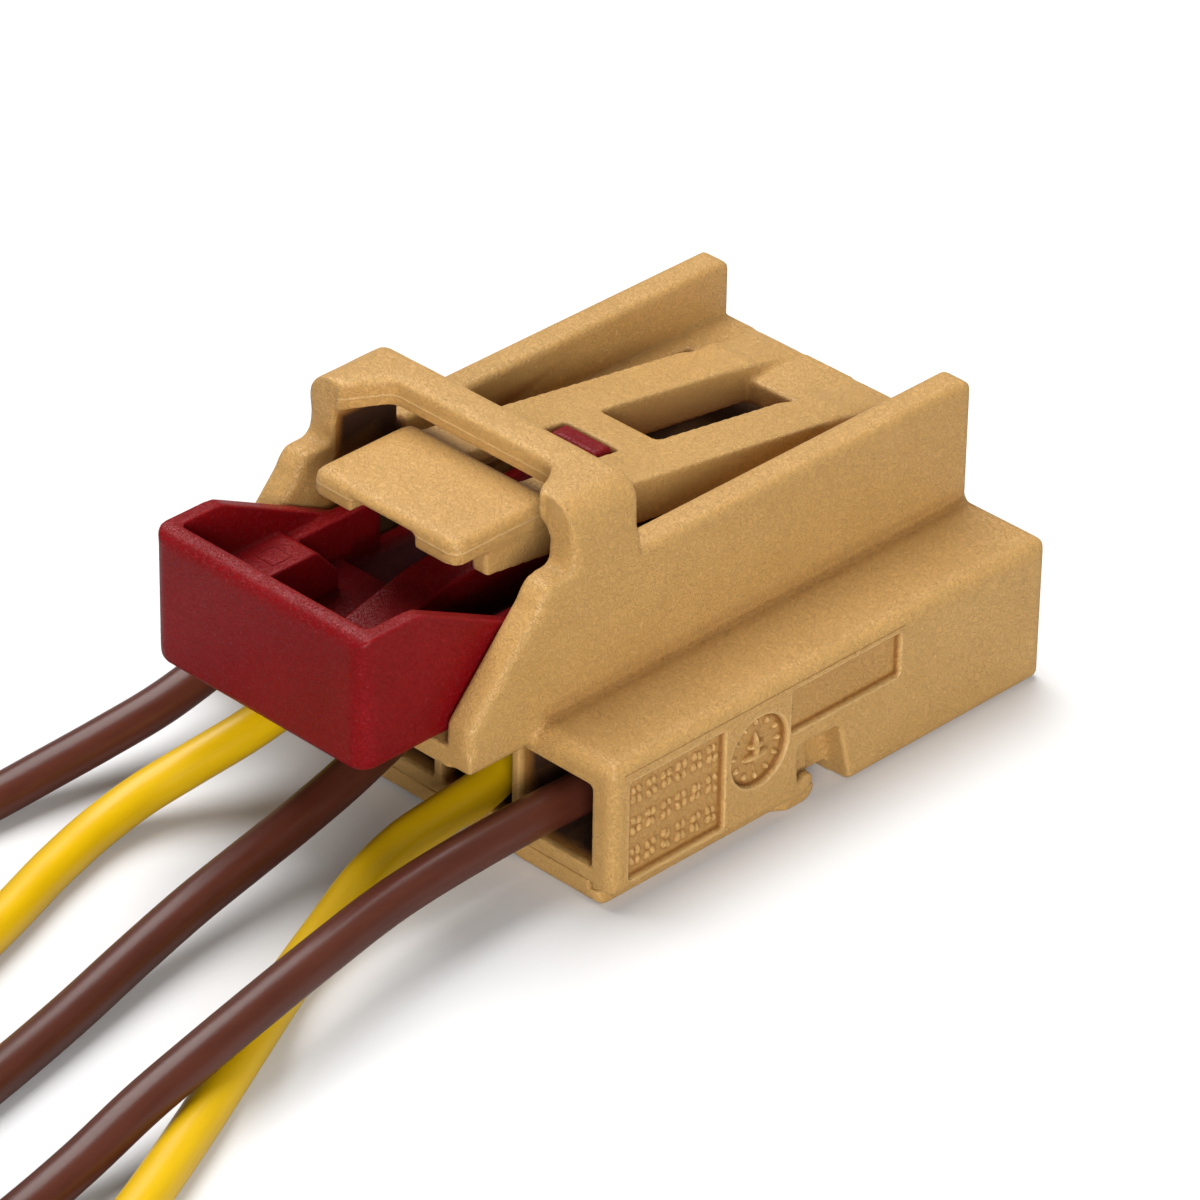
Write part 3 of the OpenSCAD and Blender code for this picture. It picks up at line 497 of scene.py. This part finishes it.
def skin_piece(name, skin, material, keep=slice(None)):
    """The kept triangles of a skin as a piece of its own, shaded by the whole skin's normals."""
    points, tris, lie, rim = skin
    used, index = np.unique(tris[keep], return_inverse=True)
    made = mesh_object(name, place(points[used]), index.reshape(-1, 3), material)
    made.data.attributes.new("rim", "FLOAT", "POINT").data.foreach_set("value", rim[used])
    facing = lie[used] / np.maximum(np.linalg.norm(lie[used], axis=1, keepdims=True), 1e-9)
    made.data.normals_split_custom_set_from_vertices(facing.tolist())
    return made


def stands_for(piece, node, body=None):
    """The piece takes the place of a CAD node and, with a body, moves with it."""
    if body:
        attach(piece, body)
    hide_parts(node)


# Outlines of the sunk panels, low and high in Y and in Z
PANELS = ((MARKS_Y, MARKS_BACK, MARKS_LOW, MARKS_TOP), (FIELD_Y, FIELD_BACK, FIELD_LOW, FIELD_TOP),
          (DIAL_Y - DIAL_R, DIAL_Y + DIAL_R, DIAL_Z - DIAL_R, DIAL_Z + DIAL_R))

# Boxes in mm, each a low corner, a high corner and the fade at its walls: first the room round each panel
ROOM_IN, ROOM_OUT, ROOM_EDGE, ROOM_FADE = 13.0, 13.9, 0.1, 0.15
PANEL_ROOMS = [((ROOM_IN, low_y - ROOM_EDGE, low_z - ROOM_EDGE),
                (ROOM_OUT, high_y + ROOM_EDGE, high_z + ROOM_EDGE), ROOM_FADE)
               for low_y, high_y, low_z, high_z in PANELS]
# Softer edges: a box and how many more passes it gets, for the shoulders, the posts' fronts, the bridge's
# front, the pad's edges and the arms' roots, then for the corners of the lock's grip
HOUSING_SOFTS = ([(((x, -4.6, 7.8), (x + 4.4, 7.4, 18.4), 0.8), 7) for x in (-9.4, 5.0)]
                 + [(((x, 1.2, 11.6), (x + 2.4, 5.0, 18.6), 0.8), 45) for x in (-9.6, 7.2)]
                 + [(((-7.2, 3.0, 16.4), (7.2, 5.8, 18.6), 0.5), 25)]
                 + [(((-5.5, -1.9, 14.85), (5.5, 5.6, 16.5), 0.45), 20)]
                 + [(((x, 22.6, 10.9), (x + 3.6, 28.2, 12.6), 0.5), 30) for x in (-5.0, 1.4)])
LOCK_SOFTS = [(((x, -9.2, 6.5), (x + 1.5, -7.7, 14.4), 0.4), 50) for x in (-LOCK_X - 0.6, LOCK_X - 0.9)]
# Deep insides, darkened with painted deep shadow
HOUSING_PAINTED_SHADE_BOXES = [((-6.98, 1.0, 6.0), (6.98, 28.0, 9.95), 0.8),          # under the latch
                 ((-7.4, 2.7, 8.0), (-5.0, 7.2, 16.0), 0.5),            # walls behind the bridge
                 ((5.0, 2.7, 8.0), (7.4, 7.2, 16.0), 0.5),
                 ((-13.4, 0.15, 0.9), (13.4, 11.6, 7.3), 0.9)]          # contact chambers
LOCK_PAINTED_SHADE_BOXES = [((-6.0, -3.5, 7.6), (6.0, 21.0, 9.9), 1.2)]               # floor and tongue

# Forms that the skins add to the solids; each pair is a stretch in mm over which a form comes or goes
ROOM_DEPTH = 0.35                               # room behind the marked side's plate
POST_Y, POST_SHIFT = 2.45, 1.2                  # front of the bridge's posts, and the most it is brought back
POST_X, POST_Z = (6.2, 6.7), (14.5, 14.8)
CORNER_FILL, CORNER_SLOPE = 0.3, 1.13           # how far the slanted corners come forward, and their slant
CORNER_IN, CORNER_OUT = (5.0, 6.4), (6.3, 6.9)
CORNER_Z, CORNER_Y, CORNER_W = (15.4, 15.6), (0.3, 1.6), 2.3
THROAT_FILL = 0.15                              # how far the hollows below them come forward
THROAT_X, THROAT_Y, THROAT_LOW, THROAT_TOP = (6.6, 7.0), (2.75, 3.6), (13.3, 13.9), (15.2, 15.7)
EDGE_RAISE = 0.2                                # how far the base's lower side edges come up
EDGE_X, EDGE_Y, EDGE_Z = (12.2, 12.9), (9.0, 11.8), (0.8, 1.5)
SOLE_DRAW = 0.45                                # how far the sole's sides are drawn in
SOLE_X, SOLE_Y, SOLE_Z = (11.9, 12.9), (10.9, 11.8), (1.4, 1.8)


def eased(value, low, high):
    """0 below low, 1 above high, a smooth step between."""
    t = np.clip((value - low) / (high - low), 0, 1)
    return t * t * (3 - 2 * t)


def faded(value, low, high):
    """1 below low, 0 above high, a smooth step between."""
    return eased(-value, -high, -low)


def shape_housing(points):
    """Local forms of the housing: room behind the marked side's plate, and the front of the bridge.

    The posts' fronts are brought back to one plane. The slanted corners between them and the set back middle
    and the hollows below them are brought a little forward, and the lower side edges a little up.
    """
    for low, high, fade in PANEL_ROOMS:
        points[:, 0] -= ROOM_DEPTH * inside(points, low, high, fade)
    x, y, z = abs(points[:, 0]), points[:, 1], points[:, 2]
    y = y + eased(x, *POST_X) * eased(z, *POST_Z) * np.clip(POST_Y - y, 0, POST_SHIFT)
    corner = 2 * np.minimum(eased(x, *CORNER_IN), faded(x, *CORNER_OUT)) * eased(z, *CORNER_Z)
    front = BRIDGE_Y - CORNER_SLOPE * np.clip(x - CORNER_IN[0], 0, CORNER_W)
    throat = (eased(x, *THROAT_X) * eased(z, *THROAT_LOW) * (1 - eased(z, *THROAT_TOP))
              * (1 - eased(y, *THROAT_Y)))
    points[:, 1] = y - CORNER_FILL * corner * (1 - eased(y - front, *CORNER_Y)) - THROAT_FILL * throat
    points[:, 2] = z + EDGE_RAISE * eased(x, *EDGE_X) * faded(y, *EDGE_Y) * (1 - eased(z, *EDGE_Z))
    return points


def shape_sole(points):
    """The sole's sides, drawn in under the base along the leads' half of its length."""
    x, y, z = points.T
    drawn = eased(abs(x), *SOLE_X) * faded(y, *SOLE_Y) * faded(z, *SOLE_Z)
    points[:, 0] -= SOLE_DRAW * np.sign(x) * drawn
    return points


def make_mouldings():
    """The tan and red mouldings. Housing and lever are wrapped as one skin and parted at the arms' roots."""
    whole = moulded_skin([solid_mm("housing"), solid_mm("latch_lever"), *root_fillers()], *HOUSING_SKIN,
                         HOUSING_SOFTS, HOUSING_PAINTED_SHADE_BOXES, shape_housing)
    x, y, z = whole[0][whole[1]].mean(axis=1).T
    lever = (abs(x) < LEVER_X) & (y < BEND_Y) & (z > LEVER_LOW) & (z < LEVER_TOP)
    stands_for(skin_piece("housing_moulding", whole, TAN, ~lever), "housing", "plug")
    arms = skin_piece("latch_moulding", whole, TAN_LEVER, lever)
    stands_for(arms, "latch_lever")
    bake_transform(arms)

    slider = moulded_skin([solid_mm("position_lock")], *LOCK_SKIN, LOCK_SOFTS, LOCK_PAINTED_SHADE_BOXES)
    stands_for(skin_piece("lock_moulding", slider, RED), "position_lock", "lock")

    catch = skin_piece("catch_moulding", moulded_skin([solid_mm("lock_catch")], *CATCH_SKIN), RED)
    stands_for(catch, "lock_catch", "lock")
    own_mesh(catch)

    sole = moulded_skin([solid_mm("terminal_retainer")], *SOLE_SKIN, shape=shape_sole)
    stands_for(skin_piece("retainer_moulding", sole, TAN), "terminal_retainer", "retainer")


# Marked side
PLATE_STEP = 0.05
PLATE_Y, PLATE_Z = (0.75, 18.85), (1.2, 7.05)
PLATE_LIFT = 0.003                  # in front of the solid's face
CLIP_Y, CLIP_Z = 11.6, 4.1          # beyond and below these the face is left to the clip's notch
PANEL_SINK, DIAL_SINK = 0.30, 0.36
PANEL_EDGE = 0.05                   # half the width of the step round a panel
# Painted shade on the sunk floors
PANEL_PAINTED_SHADE = 0.31                  # how far the sunk floors count as hollows
MEAN_PASSES = 10                    # for the mean height round a spot, from which the crests are told
PIP_ROWS_Z, PIP_COLUMNS = (5.55, 3.93, 2.31), 6
PIP_LOBES = np.array([(-0.17, -0.29), (0.17, -0.29), (-0.16, 0.23), (0.16, 0.23)])
PIP_SEED, PIP_SCATTER, PIP_TURN, PIP_HEIGHT = 11, 0.04, 0.5, 0.13
PIP_FRONT, PIP_REAR = 0.62, 0.6     # from the panel's ends to the first and the last column
PIP_HALVES = ((0.13, 0.19), (0.18, 0.26))       # least and most
TICKS, TICK_RING, TICK_HALVES, TICK_HEIGHT = 12, 1.42, (0.19, 0.11), 0.17
HAND_SPOTS = np.array([(DIAL_Y, DIAL_Z - 0.36), (DIAL_Y, DIAL_Z + 0.2), (DIAL_Y, DIAL_Z + 0.06)])
HAND_HALVES = np.array([(0.84, 0.19), (0.5, 0.18), (0.19, 0.84)])
HAND_HEIGHT = 0.28


def rect_gap(y, z, low_y, high_y, low_z, high_z, r=0.2):
    """Distance to the outline of a rectangle with rounded corners, below 0 inside it."""
    over_y = abs(y - (low_y + high_y) / 2) - (high_y - low_y) / 2 + r
    over_z = abs(z - (low_z + high_z) / 2) - (high_z - low_z) / 2 + r
    return (np.hypot(np.maximum(over_y, 0), np.maximum(over_z, 0))
            + np.minimum(np.maximum(over_y, over_z), 0) - r)


def domes(y, z, centres, halves, turns, height):
    """Height of many low domes: over each ellipse the root of one less the squared share of its radius."""
    dy, dz = y[..., None] - centres[:, 0], z[..., None] - centres[:, 1]
    along = dy * np.cos(turns) + dz * np.sin(turns)
    across = dz * np.cos(turns) - dy * np.sin(turns)
    share = (along / halves[:, 0]) ** 2 + (across / halves[:, 1]) ** 2
    return height * np.sqrt(np.clip(1 - share, 0, 1)).max(axis=-1)


def pip_rows(y, z):
    """Three rows of plain clusters of four pips, set a little unevenly."""
    dice = np.random.default_rng(PIP_SEED)
    columns = np.linspace(MARKS_Y + PIP_FRONT, MARKS_BACK - PIP_REAR, PIP_COLUMNS)
    cells = np.array([(a, b) for b in PIP_ROWS_Z for a in columns])
    scatter = dice.normal(0, PIP_SCATTER, (len(cells), len(PIP_LOBES), 2))
    spots = (cells[:, None] + PIP_LOBES[None] + scatter).reshape(-1, 2)
    halves = dice.uniform(*PIP_HALVES, (len(spots), 2))
    return domes(y, z, spots, halves, dice.uniform(-PIP_TURN, PIP_TURN, len(spots)), PIP_HEIGHT)


def dial_marks(y, z):
    """Ticks round a date dial and a plain pointer in its middle."""
    hours = np.arange(TICKS) * np.pi / 6
    ring = np.stack([DIAL_Y + TICK_RING * np.cos(hours), DIAL_Z + TICK_RING * np.sin(hours)], axis=1)
    ticks = domes(y, z, ring, np.full((TICKS, 2), TICK_HALVES), hours, TICK_HEIGHT)
    hand = domes(y, z, HAND_SPOTS, HAND_HALVES, np.zeros(len(HAND_SPOTS)), HAND_HEIGHT)
    return np.maximum(ticks, hand)


def side_plate():
    """The marked side as a height over a grid in Y and Z: three sunk panels with pips, ticks and a pointer.

    Each panel falls from the face by a smooth step across its outline.
    """
    y, z = np.meshgrid(np.arange(*PLATE_Y, PLATE_STEP), np.arange(*PLATE_Z, PLATE_STEP), indexing="ij")
    marks = rect_gap(y, z, MARKS_Y, MARKS_BACK, MARKS_LOW, MARKS_TOP)
    field = rect_gap(y, z, FIELD_Y, FIELD_BACK, FIELD_LOW, FIELD_TOP)
    dial = np.hypot(y - DIAL_Y, z - DIAL_Z) - DIAL_R
    height = (-PANEL_SINK * faded(np.minimum(marks, field), -PANEL_EDGE, PANEL_EDGE)
              - DIAL_SINK * faded(dial, -PANEL_EDGE, PANEL_EDGE) + pip_rows(y, z) + dial_marks(y, z))
    mean = height
    for _ in range(MEAN_PASSES):
        wide = np.pad(mean, 1, mode="edge")
        mean = (wide[2:, 1:-1] + wide[:-2, 1:-1] + wide[1:-1, 2:] + wide[1:-1, :-2]) / 4
    points = np.stack([SIDE_X + PLATE_LIFT + height, y, z], axis=-1).reshape(-1, 3)
    rows, columns = y.shape
    k = (np.arange(rows - 1)[:, None] * columns + np.arange(columns - 1)).ravel()
    quads = np.stack([k, k + columns, k + columns + 1, k + 1], axis=1)
    keep = (points[quads].mean(axis=1)[:, 1:] * (-1, 1) > (-CLIP_Y, CLIP_Z)).any(axis=1)
    used, index = np.unique(quads[keep], return_inverse=True)
    made = mesh_object("side_plate", place(points[used]), index.reshape(-1, 4), TAN)
    # Painted highlights on the plate's crests, painted shade in its hollows and sunk floors
    rim = (height - mean) * RIM_PER_MM - PANEL_PAINTED_SHADE * np.clip(-height / PANEL_SINK, 0, 1)
    made.data.attributes.new("rim", "FLOAT", "POINT").data.foreach_set(
        "value", rim.ravel()[used].astype(np.float32))
    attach(made, "plug")


# Ejector lines on the lock's stop blocks: distance from the middle, half width and the two ends in Y
EJECTOR_X, EJECTOR_HALF, EJECTOR_Y = 4.55, 0.6, (-3.9, -2.75)


def outline_bead(corners, radius=0.035, sides=6, steps=6):
    """A fine raised line round a closed row of corners: a small ring carried along them in equal steps."""
    corners = np.asarray(corners, float)
    t = np.linspace(0, 1, steps, endpoint=False)[:, None]
    path = np.concatenate([a + (b - a) * t for a, b in zip(corners, np.roll(corners, -1, axis=0))])
    heading = np.roll(path, -1, axis=0) - np.roll(path, 1, axis=0)
    heading /= np.linalg.norm(heading, axis=1, keepdims=True)
    face = np.cross(corners[1] - corners[0], corners[2] - corners[1])
    face /= np.linalg.norm(face)
    side = np.cross(heading, face)
    turn = 2 * np.pi * np.arange(sides) / sides
    ring = np.cos(turn)[:, None] * side[:, None] + np.sin(turn)[:, None] * face
    grid = path[:, None] + radius * ring
    return np.concatenate([grid, grid[:1]]).reshape(-1, 3), grid_faces(len(path) + 1, sides)


def make_ejector_lines():
    """Fine outlines left by the ejectors on the stop blocks of the lock."""
    front, back = EJECTOR_Y
    for number, x in enumerate((-EJECTOR_X, EJECTOR_X), 1):
        low, high = x - EJECTOR_HALF, x + EJECTOR_HALF
        points, faces = outline_bead([(low, front, BLOCK_Z), (high, front, BLOCK_Z),
                                      (high, back, BLOCK_Z), (low, back, BLOCK_Z)])
        made = mesh_object(f"ejector_line_{number}", place(points), faces, RED)
        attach(made, "lock")


# Leads: what the knife left at a cut end, and the bore that is drawn behind it
CUT_LIP, CUT_ROUND, BORE_L = 0.02, 0.08, 1.5
CORE_IN, CORE_OUT = 1.2, 0.7                    # how far the bare strands reach into and out of it
CORE_FIT = 0.98                                 # share of the room that a strand fills
CORE_TIP = np.array([1, 0.4, 0.05, 0])          # stations back from a strand's tip, in radii
CORE_TAPER = np.array([1, 1, 0.8, 0.4, 0.02])   # share of the radius at the root and at these stations


def smooth_route(points):
    """Points on a smooth curve through a route: cubic pieces whose slopes are those of the chords between
    a point's neighbours, with equal steps in each piece."""
    p = np.asarray(points, float)
    chord = np.linalg.norm(np.diff(p, axis=0), axis=1)
    slope = np.gradient(p, np.concatenate([[0], np.cumsum(chord)]), axis=0)
    t = np.linspace(0, 1, ROUTE_STEPS, endpoint=False)[:, None]
    span = chord[:, None, None]
    pieces = ((2 * t**3 - 3 * t**2 + 1) * p[:-1, None] + (t**3 - 2 * t**2 + t) * slope[:-1, None] * span
              + (3 * t**2 - 2 * t**3) * p[1:, None] + (t**3 - t**2) * slope[1:, None] * span)
    return np.concatenate([pieces.reshape(-1, 3), p[-1:]])


def along_frames(path):
    """Heading, side and up of each point of a path that never stands upright."""
    heading = np.gradient(path, axis=0)
    heading /= np.linalg.norm(heading, axis=1, keepdims=True)
    side = np.cross(heading, (0, 0, 1))
    side /= np.linalg.norm(side, axis=1, keepdims=True)
    return heading, side, np.cross(side, heading)


def swept(path, side, up, radii, sides):
    """A round section carried along a path, with one radius for each of its points; points and faces."""
    turn = 2 * np.pi * np.arange(sides) / sides - np.pi / 2
    ring = np.cos(turn)[:, None] * side[:, None] + np.sin(turn)[:, None] * up[:, None]
    grid = path[:, None] + np.asarray(radii, float)[:, None, None] * ring
    return grid.reshape(-1, 3), grid_faces(len(path), sides)


def lead(number, sides=28):
    """Insulation of one lead: a tube with cut faces whose bore just holds the strands."""
    line = smooth_route(LEAD_ROUTES[number])
    heading, side, up = along_frames(line)
    at = np.concatenate([[0, 0], np.arange(len(line)), [-1, -1, -1]])
    shift = np.zeros(len(at))
    radii = np.full(len(at), LEAD_D / 2)
    bore, lip = STRAND_D / 2, LEAD_D / 2 - CUT_ROUND
    shift[:2], radii[:2] = -CUT_LIP, (bore, lip)
    shift[-3:], radii[-3:] = (CUT_LIP, CUT_LIP, -BORE_L), (lip, bore, bore)
    points, faces = swept(line[at] + shift[:, None] * heading[at], side[at], up[at], radii, sides)
    made = mesh_object(f"lead_{number}", place(points), faces, BROWN if number % 2 else YELLOW)
    length = np.concatenate([[0], np.cumsum(np.linalg.norm(np.diff(line, axis=0), axis=1))])[at]
    row, column = np.divmod(faces, sides)
    turn = np.where((column == 0) & (column.max(axis=1, keepdims=True) == sides - 1), sides, column) / sides
    made.data.uv_layers.new(name="skin").data.foreach_set(
        "uv", np.stack([length[row], turn], axis=-1).astype(np.float32).ravel())
    return made, place(line)


def strands(number, sides=10):
    """Bare core at a lead's cut end: six strands round one, each a round rod with a domed tip."""
    line = smooth_route(LEAD_ROUTES[number])
    heading, side, up = (f[-1] for f in along_frames(line))
    r = STRAND_D / 6
    ring = np.arange(6) * np.pi / 3
    centres = np.concatenate([[[0, 0]], np.stack([np.cos(ring), np.sin(ring)], axis=1) * 2 * r])
    step = np.array([-CORE_IN, *(CORE_OUT - CORE_TIP * r)])
    radii = CORE_TAPER * r * CORE_FIT
    rods = [swept(line[-1] + cx * side + cy * up + step[:, None] * heading,
                  np.tile(side, (len(step), 1)), np.tile(up, (len(step), 1)), radii, sides)
            for cx, cy in centres]
    count = len(step) * sides
    return mesh_object(f"core_{number}", place(np.concatenate([p for p, _ in rods])),
                       np.concatenate([f + i * count for i, (_, f) in enumerate(rods)]), COPPER)


def make_leads():
    """The five leads, brown at the odd places and yellow at the even ones, each with its bare core."""
    for number in LEAD_ROUTES:
        made, path = lead(number)
        core = strands(number)
        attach(core, "plug")
        stands_for(made, f"wire_{number}", "plug")


def dress_solids():
    """Finishes of the CAD solids that stay as they are: contacts, cages and strands in the crimps."""
    for number in range(1, 6):
        for node, metal in ((f"contact_{number}", TINNED), (f"contact_cage_{number}", STEEL),
                            (f"conductor_{number}", COPPER)):
            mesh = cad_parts[node].data
            mesh.materials.clear()
            mesh.materials.append(metal)


# Stage
def look(at, back, roll=0.0):
    """Matrix of a camera or lamp at a point whose back points away from what it faces."""
    back = Vector(back).normalized()
    right = Vector((0, 0, 1)).cross(back).normalized()
    up = back.cross(right)
    c, s = math.cos(roll), math.sin(roll)
    turn = Matrix((c * right + s * up, c * up - s * right, back)).transposed().to_4x4()
    turn.translation = at
    return turn


def make_camera():
    camera = bpy.data.cameras.new("camera")
    camera.lens, camera.sensor_width, camera.sensor_fit = LENS, SENSOR, "HORIZONTAL"
    camera.clip_start, camera.clip_end = 0.01, 10
    holder = linked("camera", camera)
    turn, tilt = math.radians(TURN), math.radians(TILT)
    back = (math.sin(turn) * math.cos(tilt), -math.cos(turn) * math.cos(tilt), math.sin(tilt))
    holder.matrix_world = look(EYE, back, math.radians(ROLL))
    bpy.context.scene.camera = holder


def make_stage():
    corners = [(x * FLOOR_HALF, y * FLOOR_HALF, 0) for x, y in ((-1, -1), (1, -1), (1, 1), (-1, 1))]
    mesh_object("floor", corners, [(0, 1, 2, 3)], pale_floor(), smooth=False)

    world = bpy.data.worlds.new("studio")
    bpy.context.scene.world = world
    world.use_nodes = True
    sky = world.node_tree.nodes["Background"].inputs
    sky["Color"].default_value = (1, 1, 1, 1)
    seen = Tap(world.node_tree).node("ShaderNodeLightPath", out="Is Camera Ray")
    world.node_tree.links.new((AMBIENT + seen * (1 - AMBIENT)).socket, sky["Strength"])

    for name, (at, aim, size, watts) in LAMPS.items():
        lamp = bpy.data.lights.new(name, "AREA")
        lamp.shape, lamp.size, lamp.energy = "DISK", size, watts
        linked(name, lamp).matrix_world = look(at, Vector(at) - Vector(aim))


bpy.context.scene.view_settings.view_transform = "Standard"
make_camera()
make_leads()
make_mouldings()
side_plate()
make_ejector_lines()
dress_solids()
make_stage()
